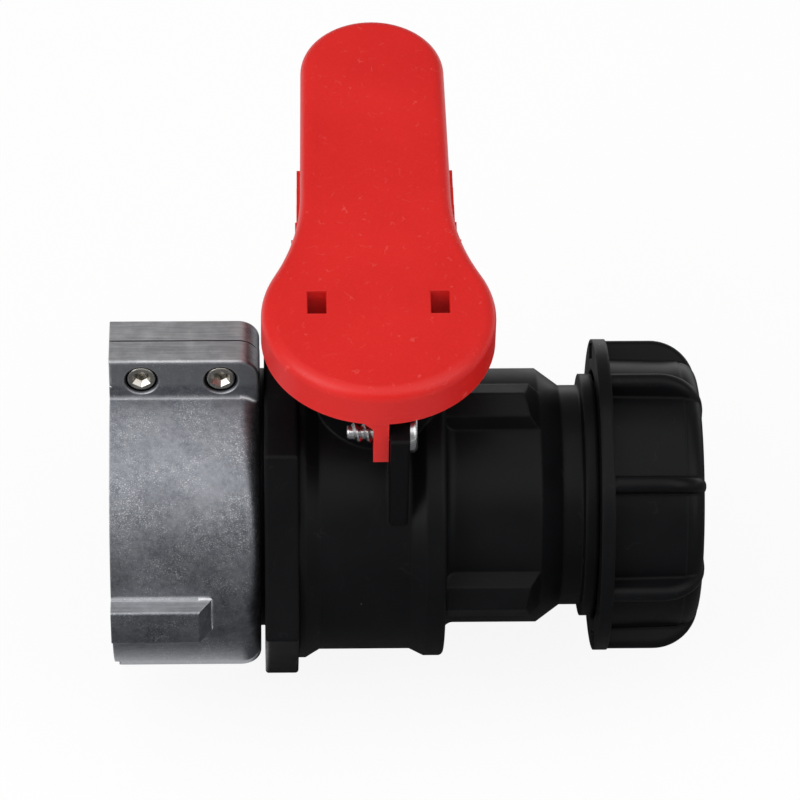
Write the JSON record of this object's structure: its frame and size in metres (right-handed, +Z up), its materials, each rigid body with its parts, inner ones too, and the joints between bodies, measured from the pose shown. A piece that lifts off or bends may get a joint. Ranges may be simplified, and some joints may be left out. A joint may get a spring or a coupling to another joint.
{
  "type": "tank outlet ball valve",
  "caption": "Plastic ball valve for a bulk container outlet, with a two-half clamp nut for the tank's spout, a quarter-turn lever with a lock screw, and a ribbed screw cap.",
  "frame": {"origin": "centre of the coupling nut's mouth, where the tank's spout enters", "axes": "+X along the pipe from the tank to the outlet cap, +Z up along the valve stem, -Y towards the front with the locking tab"},
  "size_m": [0.14, 0.1441, 0.1151],
  "materials": {
    "cast_aluminium": "tumbled casting with light scratches",
    "clamp_steel": "bright turned stainless",
    "screw_steel": "bright zinc",
    "black_plastic": "satin moulded",
    "cap_plastic": "satin moulded",
    "red_plastic": "fine satin moulded",
    "seal_rubber": "smooth",
    "seat_plastic": "smooth, waxy",
    "ball_plastic": "smooth moulded"
  },
  "bodies": {
    "valve": {"valve_body": "black_plastic", "inlet_gland": "black_plastic", "inlet_gasket": "seal_rubber", "inlet_o_ring": "seal_rubber", "inlet_seat": "seat_plastic", "inlet_seat_cushion": "seal_rubber", "outlet_seat": "seat_plastic", "outlet_seat_cushion": "seal_rubber", "stem_washer": "seat_plastic", "outlet_end": "black_plastic", "outlet_o_ring": "seal_rubber"},
    "lever": {"handle": "red_plastic", "stem": "black_plastic", "stem_o_rings": "seal_rubber", "ball": "ball_plastic"},
    "nut": {"nut_front_half": "cast_aluminium", "nut_rear_half": "cast_aluminium", "clamp_screws": "clamp_steel"},
    "lock_screw": {"safety_screw": "screw_steel"},
    "seal": {"cap_seal": "seal_rubber"},
    "cap": {"outlet_cap": "cap_plastic"}
  },
  "joints": [
    {"name": "lever_turn", "type": "hinge", "parent": "valve", "child": "lever", "pos_m": [0.06261, 0, 0], "axis": [0, 0, 1], "range_deg": [-90, 0]},
    {"name": "nut_swivel", "type": "hinge", "parent": "valve", "child": "nut", "pos_m": [0, 0, 0], "axis": [1, 0, 0], "continuous": true},
    {"name": "lock_screw_withdraw", "type": "slide", "parent": "valve", "child": "lock_screw", "axis": [1, 0, 0], "range_m": [0, 0.02]},
    {"name": "cap_advance", "type": "slide", "parent": "valve", "child": "seal", "axis": [1, 0, 0], "range_m": [0, 0.0204]},
    {"name": "cap_turn", "type": "hinge", "parent": "seal", "child": "cap", "pos_m": [0.1147, 0, 0], "axis": [1, 0, 0], "range_deg": [0, 1218]}
  ],
  "couplings": [
    {"joint": "cap_advance", "follows": "cap_turn", "m_per_rad": 0.00095493}
  ]
}
